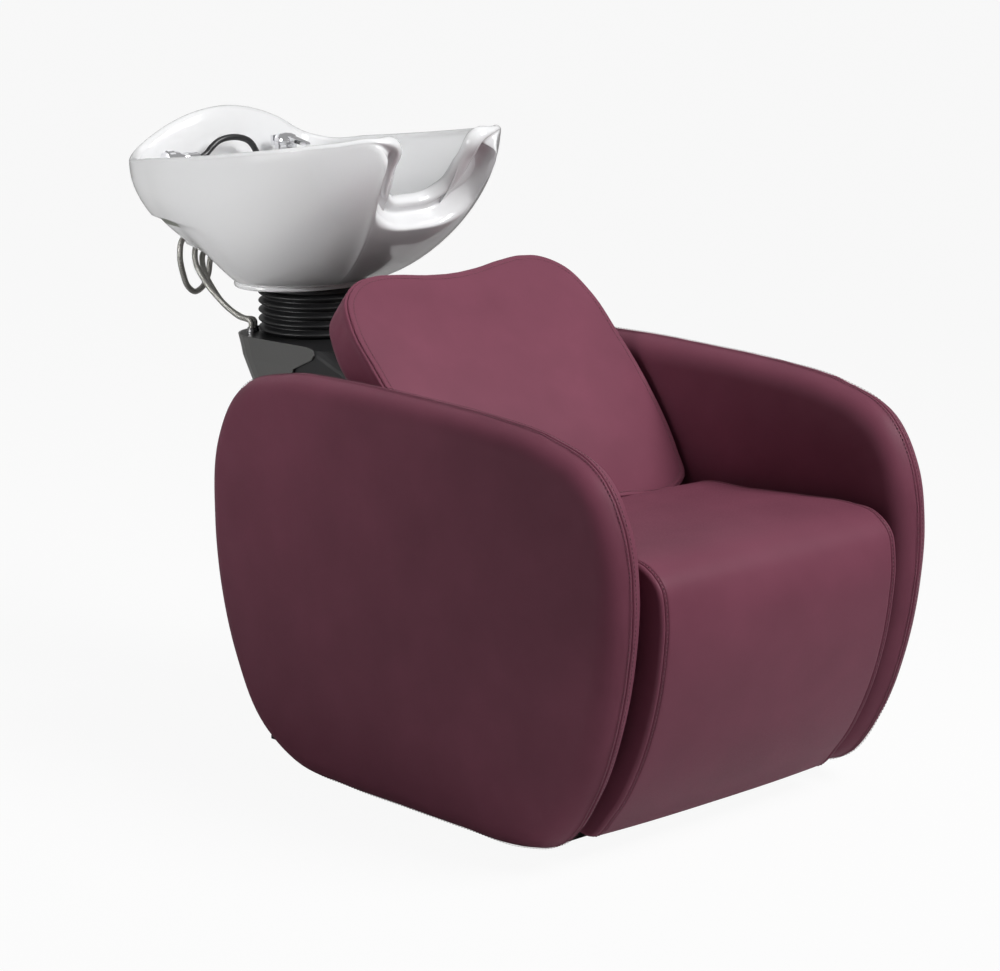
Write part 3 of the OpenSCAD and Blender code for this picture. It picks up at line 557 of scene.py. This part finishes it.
seat_half = [(SEAT_W / 2 - a / 1000, b / 1000) for a, b in SEAT_EDGE]
seat = skin("seat_and_front", [seat_ring(-x, d) for x, d in seat_half] + [seat_ring(0, -0.0035)]
            + [seat_ring(x, d) for x, d in reversed(seat_half)], M["leather"])


def seat_held(p):
    """The side seams, the back of the seat under the backrest and the foot of the front panel."""
    seams = np.abs(np.abs(p[:, 0]) - SEAT_W / 2 + 0.0075) < 0.009
    return seams | (p[:, 1] > -0.27) | (p[:, 2] < 0.06)


pressed(seat, 0.007, 0.004, seat_held)
upholster(seat, ["seat_cushion", "front_panel"])
for side in (-1, 1):
    stitch_row("seat_stitches_" + ("left" if side < 0 else "right"), seat_ring(side * (SEAT_W / 2 - WELT), -0.00045),
               np.column_stack([np.zeros(len(seat_line)), seat_out]), CHAIR)

BACK_W, BACK_T, BACK_LEN = 0.530, 0.084, 0.466
BACK_FOOT = np.array([-0.238, 0.438])
BACK_EDGE, BACK_SOFT, BACK_CROWN = 0.010, 0.024, 0.008


def back_turn(v):
    return math.radians(mix(27, 45, smooth_step(v / (0.62 * BACK_LEN))))


def back_point(u, v, w, n=24):
    y, z = BACK_FOOT
    for k in range(n):
        a = back_turn(v * (k + 0.5) / n)
        y += math.sin(a) * v / n
        z += math.cos(a) * v / n
    a = back_turn(v)
    return [u, y + w * math.cos(a), z - w * math.sin(a)]


BACK_TOP = [(1, 0.62), (0.985, 0.8), (0.9, 0.925), (0.75, 0.985), (0.6, 1), (0.4, 0.992), (0.2, 0.975)]
back_half = [(0.110, 0), (BACK_W / 2 - 0.025, 0.002), (BACK_W / 2 - 0.004, 0.016),
             (BACK_W / 2, 0.06), (BACK_W / 2, 0.17)]
back_half += [(x * BACK_W / 2, y * BACK_LEN) for x, y in BACK_TOP]
back_line = loop([(0, 0)] + back_half + [(0, 0.968 * BACK_LEN)] + [(-x, y) for x, y in reversed(back_half)], 7)
back_middle = np.array([0, BACK_LEN / 2])
back_reach = np.linalg.norm(back_line - back_middle, axis=1)[:, None]


def pad_ring(scale, inset, w):
    flat = back_middle + (back_line - back_middle) * (1 - inset / back_reach) * scale
    return [back_point(p[0], p[1], w) for p in flat]


BACK_START = 0.002
SEAM_AT = -52
back_rings = [pad_ring(s, BACK_SOFT, BACK_T) for s in (0.15, 0.3, 0.45, 0.6, 0.72, 0.82, 0.9, 0.96)]
for f in range(90, -1, -9):
    back_rings.append(pad_ring(1, BACK_START + BACK_SOFT * (1 - math.cos(math.radians(f))),
                               BACK_T - BACK_SOFT + math.sin(math.radians(f)) * BACK_SOFT))
for w in (0.050, 0.040, 0.030, 0.022, 0.015):
    back_rings.append(pad_ring(1, BACK_START, w))
for f in (0, -12, -22, -30, -37, -42, -46, -49, -52, -55, -58, -62, -67, -74, -82, -90):
    r = BACK_EDGE - groove((f - SEAM_AT) * BACK_EDGE * math.pi / 180)
    back_rings.append(pad_ring(1, BACK_START + BACK_EDGE - r * math.cos(math.radians(f)),
                               BACK_EDGE + r * math.sin(math.radians(f))))
back_rings += [pad_ring(s, BACK_START + BACK_EDGE, -BACK_CROWN * (1 - s * s))
               for s in (0.985, 0.97, 0.95, 0.92, 0.88, 0.83, 0.77, 0.7, 0.6, 0.5, 0.4, 0.3, 0.2, 0.1)]
back = skin("backrest", back_rings, M["leather"])
seam_ring = np.array(pad_ring(1, BACK_START + BACK_EDGE * (1 - math.cos(math.radians(SEAM_AT))),
                              BACK_EDGE * (1 + math.sin(math.radians(SEAM_AT)))))


def near_ring(ring, reach):
    tree = KDTree(len(ring))
    for i, p in enumerate(ring):
        tree.insert(p, i)
    tree.balance()
    return lambda points: np.array([tree.find(p)[2] < reach for p in points])


pressed(back, 0.007, 0.005, near_ring(seam_ring, 0.008))
upholster(back, ["backrest_pad"])
stitch_ring = np.array(pad_ring(0.985, BACK_START + BACK_EDGE, -BACK_CROWN * (1 - 0.985 ** 2)))
stitch_out = np.array([[0, -math.cos(back_turn(p[1])), math.sin(back_turn(p[1]))] for p in back_line])
stitch_row("backrest_stitches", stitch_ring, stitch_out, CHAIR)

# ------------------------------------------------------------------ basin
HINGE = np.array([0.0, 0.395])
BOWL = np.array([0.0, 0.372])
FOOT_AT, FOOT_HALF = np.array([0.0, 0.405]), np.array([0.142, 0.100])
FOOT_TOP, FOOT_Z, WASTE_R, FLOOR_Z = 0.732, 0.724, 0.025, 0.768
SHELF_Z, SHELF_Y = 0.885, 0.548
LEDGE_Z, LEDGE_STEP = 0.830, 0.010
RIM_HALF = [(44, 142, 884), (76, 124, 908), (88, 96, 952), (94, 74, 984), (122, 77, 996), (176, 124, 990),
            (222, 205, 978), (244, 315, 962), (248, 430, 947), (238, 540, 934), (217, 617, 926), (188, 644, 935),
            (124, 650, 968), (62, 650, 988)]
SHOULDER_HALF = [(54, 117, 858), (98, 104, 886), (114, 87, 930), (118, 79, 962), (128, 80, 986)]
deg = math.radians


def whole(front, half, back, steps=6):
    """Closed curve from its front point, one side and its back point."""
    return loop([front] + list(half) + [back] + [np.array([-p[0], p[1], p[2]]) for p in reversed(half)], steps)


def foot_point(p, r, z):
    d = p[:2] - HINGE
    q = HINGE + d * r / np.linalg.norm(d)
    return np.array([q[0], q[1], z])


def foot_oval(p, out, z):
    d = p[:2] - FOOT_AT
    t = d / np.linalg.norm(d)
    q = FOOT_AT + t / np.linalg.norm(t / (FOOT_HALF + out))
    return np.array([q[0], q[1], z])


def inside_point(p, f, a):
    n = 2 / mix(1.75, 3.6, smooth_step((p[1] - 0.52) / 0.09))
    h, v = max(math.cos(a), 0) ** n, max(math.sin(a), 0) ** n
    return np.array([f[0] + (p[0] - f[0]) * h, f[1] + (p[1] - f[1]) * h, p[2] + (f[2] - p[2]) * v])


def hull_powers(p):
    t = smooth_step((p[1] - 0.25) / 0.33)
    return mix(1.4, 2, t), mix(1.1, 0.92, t)


def hull_point(p, f, a):
    m, n = hull_powers(p)
    h, v = max(math.cos(a), 0) ** m, max(math.sin(a), 0) ** n
    return np.array([f[0] + (p[0] - f[0]) * h, f[1] + (p[1] - f[1]) * h, p[2] + (f[2] - p[2]) * v])


def hull_angle(p, f, z):
    return math.asin(((p[2] - z) / (p[2] - f[2])) ** (1 / hull_powers(p)[1]))


def rim_over(e, f, top):
    """Rim point at height top whose hull line passes through e."""
    h = math.cos(hull_angle(np.array([0, e[1], top]), f, e[2])) ** hull_powers(e)[0]
    return np.array([f[0] + (e[0] - f[0]) / h, f[1] + (e[1] - f[1]) / h, top])


def under_rim(p):
    f = foot_oval(p, 0, FOOT_TOP)
    return hull_point(p, f, hull_angle(p, f, p[2] - 0.008))


def in_notch(p):
    return smooth_step((0.132 - abs(p[0])) / 0.034) * smooth_step((0.180 - p[1]) / 0.030)


def shelf(p):
    t = smooth_step((p[1] - SHELF_Y + 0.014) / 0.028)
    return np.array([p[0], p[1], mix(p[2], max(p[2], SHELF_Z), t)])


rim_half = [np.array(p) / 1000 for p in RIM_HALF]
rim = whole(np.array([0, 0.148, 0.880]), rim_half, np.array([0, 0.650, 0.995]))
shoulder = whole(np.array([0, 0.120, 0.852]),
                 [np.array(p) / 1000 for p in SHOULDER_HALF] + [under_rim(p) for p in rim_half[5:]],
                 under_rim(np.array([0, 0.650, 0.995])))
rim_notch = np.array([in_notch(p) for p in rim])[:, None]
rim_out = np.column_stack([rim[:, :2] - BOWL, np.zeros(len(rim))])
rim_out /= np.linalg.norm(rim_out, axis=1)[:, None]
rim_up = np.cross(rim_out, np.roll(rim, -1, 0) - np.roll(rim, 1, 0))
rim_up /= np.linalg.norm(rim_up, axis=1)[:, None]
rim_up = mix(np.array([[0, 0, 1.0]]), rim_up, rim_notch)


def rolled(plain, necked):
    """The rim moved out and up (millimetres), by plain along the rim and by necked round the notch."""
    q = mix(np.array([plain], float), np.array([necked], float), rim_notch) / 1000
    return rim + q[:, :1] * rim_out + q[:, 1:] * rim_up


hull_lines = []
for p, e, t in zip(rim, shoulder, rim_notch[:, 0]):
    f = foot_oval(e, 0, FOOT_TOP)
    r = rim_over(e, f, mix(p[2], 0.988, t))
    hull_lines.append((f, r, hull_angle(r, f, LEDGE_Z), hull_angle(r, f, e[2]), smooth_step((p[1] - 0.43) / 0.12)))


def hull_ring(low, t, step):
    """Ring of the hull: t of the way from the foot to the ledge, or from the ledge up to the shoulder."""
    ring = []
    for f, r, ledge, top, back in hull_lines:
        q = hull_point(r, f, mix(math.pi / 2, ledge, t) if low else mix(ledge - deg(0.6 + 1.4 * back), top, t))
        d = q[:2] - FOOT_AT
        q[:2] -= d / np.linalg.norm(d) * step * back
        ring.append(q)
    return ring


def fine_curve(points, steps):
    flat = np.array([[a, b, c, d] for (a, b), (c, d) in points], float)
    out = []
    for i in range(len(flat) - 1):
        p0, p3 = flat[max(i - 1, 0)], flat[min(i + 2, len(flat) - 1)]
        p1, p2 = flat[i], flat[i + 1]
        for k in range(steps):
            t = k / steps
            bend, twist = 2 * p0 - 5 * p1 + 4 * p2 - p3, 3 * p1 - p0 - 3 * p2 + p3
            out.append(0.5 * (2 * p1 + (p2 - p0) * t + bend * t * t + twist * t ** 3))
    out.append(flat[-1])
    return [((q[0], q[1]), (q[2], q[3])) for q in out]


# Section of the rim from the hull up and over into the bowl, (out, up) in millimetres: along the rim, round the notch
LIP = [((-0.1, -6), (5, -24)), ((-0.1, -5), (-3, -18)), ((-0.1, -3.5), (-8, -12)), ((-0.1, -2), (-6, -6)),
       ((0, -1), (-1, -1.5)),
       ((0, 0), (1, 3)), ((-2, 3), (-2, 9)), ((-6, 5), (-9, 14)), ((-12, 4), (-19, 16)), ((-18, -1), (-28, 12))]
SHOULDER_FROM = 0.45


def shoulder_ring(t):
    """Rounded turn from the top of the hull to the back of the rolled lip."""
    low, below = np.array(hull_ring(False, SHOULDER_FROM, 0)), np.array(hull_ring(False, SHOULDER_FROM - 0.05, 0))
    top, above = rolled(*LIP[0]), rolled(*LIP[1])
    reach = np.linalg.norm(top - low, axis=1)[:, None]
    rise = (low - below) / np.linalg.norm(low - below, axis=1)[:, None] * reach * 0.42
    swell = (top - above) / np.linalg.norm(top - above, axis=1)[:, None] * reach * 0.24
    curve = low * (1 - t) ** 3 + 3 * (low + rise) * t * (1 - t) ** 2
    curve = curve + 3 * (top + swell) * t * t * (1 - t) + top * t ** 3
    return mix(np.array(hull_ring(False, mix(SHOULDER_FROM, 1, t), 0)), curve, rim_notch)


basin_rings = [[foot_point(p, 0.038, FLOOR_Z - 0.005) for p in rim],
               [foot_point(p, WASTE_R, FLOOR_Z - 0.005) for p in rim],
               [foot_point(p, WASTE_R, 0.749) for p in rim], [foot_point(p, 0.062, 0.748) for p in rim],
               [foot_point(p, 0.066, FOOT_Z) for p in rim]]
basin_rings += [[foot_oval(p, out, z) for p in rim] for out, z in
                ((-0.002, FOOT_Z), (0.0006, FOOT_Z + 0.0006), (0.002, FOOT_Z + 0.002), (0.0024, FOOT_Z + 0.004),
                 (0.002, FOOT_TOP - 0.002), (0.0008, FOOT_TOP - 0.0006))]
basin_rings += [hull_ring(True, t, LEDGE_STEP * min(1, t * 8))
                for t in (0, 0.03, 0.07, 0.13, 0.2, 0.3, 0.4, 0.5, 0.6, 0.7, 0.8, 0.9, 0.96, 1)]
LEDGE_BAND = (len(basin_rings) - 2, len(basin_rings))
basin_rings += [hull_ring(False, t, 0) for t in (0, 0.03, 0.1, 0.2, 0.3, 0.38)]
basin_rings += [shoulder_ring(t / 12) for t in range(12)]
basin_rings += [rolled(*q) for q in fine_curve(LIP, 3)]
inner_edge = rolled(*LIP[-1])
for a in [3, 6, 9, 13] + list(range(18, 91, 4)):
    basin_rings.append([shelf(inside_point(p, foot_point(q, 0.040, FLOOR_Z), deg(a))) for p, q in zip(inner_edge, rim)])
basin = skin("ceramic_basin", basin_rings, M["ceramic"], closed=True)
# Painted shade: the back of the ledge band (y > 0.50) gets the dark raw_clay colour where the hollow under the tap
# shelf would lie in shade; no hollow is modelled
basin.data.materials.append(M["raw_clay"])
for f in basin.data.polygons:
    ring_no = min(f.vertices) // len(rim)
    if LEDGE_BAND[0] <= ring_no < LEDGE_BAND[1] and f.center.y > 0.50:
        f.material_index = 1
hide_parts("basin")
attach(basin, BASIN)

# ------------------------------------------------------------------ bellows
BELLOWS_R, BELLOWS_LOW, BELLOWS_TOP, FOLDS = 0.096, 0.640, 0.716, 5
profile = []
for k in range(FOLDS * 12 + 1):
    t = k / 12
    swell = (0.5 - 0.5 * math.cos(2 * math.pi * t)) ** 0.7
    profile.append((BELLOWS_R - 0.010 + 0.010 * swell, mix(BELLOWS_LOW, BELLOWS_TOP, t / FOLDS)))
profile += [(r - 0.003, z) for r, z in reversed(profile)]
bellows = lathe("rubber_bellows", profile, (HINGE[0], HINGE[1], 0), M["rubber"], closed=True)
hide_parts("bellows")
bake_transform(bellows)

# ------------------------------------------------------------------ studio
def floor_material():
    mat = bpy.data.materials.new("pale_floor")
    mat.use_nodes = True
    tree = mat.node_tree
    tree.nodes.clear()
    out = node(tree, "ShaderNodeOutputMaterial")
    diffuse = node(tree, "ShaderNodeBsdfDiffuse", {"Color": (0.86, 0.86, 0.86, 1)})
    glow = node(tree, "ShaderNodeEmission", {"Color": (1, 1, 1, 1), "Strength": 1.0})
    path = node(tree, "ShaderNodeLightPath")
    seen = node(tree, "ShaderNodeMath", operation="MAXIMUM")
    scale = node(tree, "ShaderNodeMath", {1: 0.93}, operation="MULTIPLY")
    tree.links.new(path.outputs["Is Camera Ray"], seen.inputs[0])
    tree.links.new(path.outputs["Is Transmission Ray"], seen.inputs[1])
    tree.links.new(seen.outputs[0], scale.inputs[0])
    mixer = node(tree, "ShaderNodeMixShader")
    tree.links.new(scale.outputs[0], mixer.inputs["Fac"])
    tree.links.new(diffuse.outputs[0], mixer.inputs[1])
    tree.links.new(glow.outputs[0], mixer.inputs[2])
    tree.links.new(mixer.outputs[0], out.inputs["Surface"])
    return mat


floor = new_object("studio_floor", [(-60, -60, 0), (60, -60, 0), (60, 60, 0), (-60, 60, 0)], [(0, 1, 2, 3)],
                   floor_material(), False)


def area_light(name, at, target, size, power, spread=180):
    data = bpy.data.lights.new(name, "AREA")
    data.spread = math.radians(spread)
    data.shape = "RECTANGLE"
    data.size, data.size_y = size
    data.energy = power
    obj = bpy.data.objects.new(name, data)
    obj.location = at
    obj.rotation_euler = (Vector(target) - Vector(at)).to_track_quat("-Z", "Y").to_euler()
    bpy.context.scene.collection.objects.link(obj)
    return obj


area_light("key", (0.9, -2.8, 3.4), (0, 0.05, 0.75), (1.8, 1.8), 34, 75)
area_light("top", (0.7, 0.6, 3.6), (0, 0.1, 0.6), (2.2, 2.2), 9)
area_light("side", (-2.9, 0.7, 0.75), (-0.1, 0.1, 0.65), (2.4, 0.9), 9)
area_light("basin_side", (-2.6, 0.5, 1.5), (0, 0.38, 0.9), (0.9, 0.5), 1.7, 34)

world = bpy.data.worlds.new("studio")
bpy.context.scene.world = world
world.use_nodes = True
background = world.node_tree.nodes["Background"]
background.inputs["Color"].default_value = (1, 1, 1, 1)
wpath = node(world.node_tree, "ShaderNodeLightPath")
wmix = node(world.node_tree, "ShaderNodeMapRange", {"To Min": 0.10, "To Max": 1.0})
wshine = node(world.node_tree, "ShaderNodeMath", {1: 0.3}, operation="MULTIPLY")
wmax = node(world.node_tree, "ShaderNodeMath", operation="MAXIMUM")
world.node_tree.links.new(wpath.outputs["Is Glossy Ray"], wshine.inputs[0])
world.node_tree.links.new(wpath.outputs["Is Camera Ray"], wmax.inputs[0])
world.node_tree.links.new(wshine.outputs[0], wmax.inputs[1])
world.node_tree.links.new(wmax.outputs[0], wmix.inputs["Value"])
world.node_tree.links.new(wmix.outputs[0], background.inputs["Strength"])

bpy.context.scene.view_settings.view_transform = "Standard"
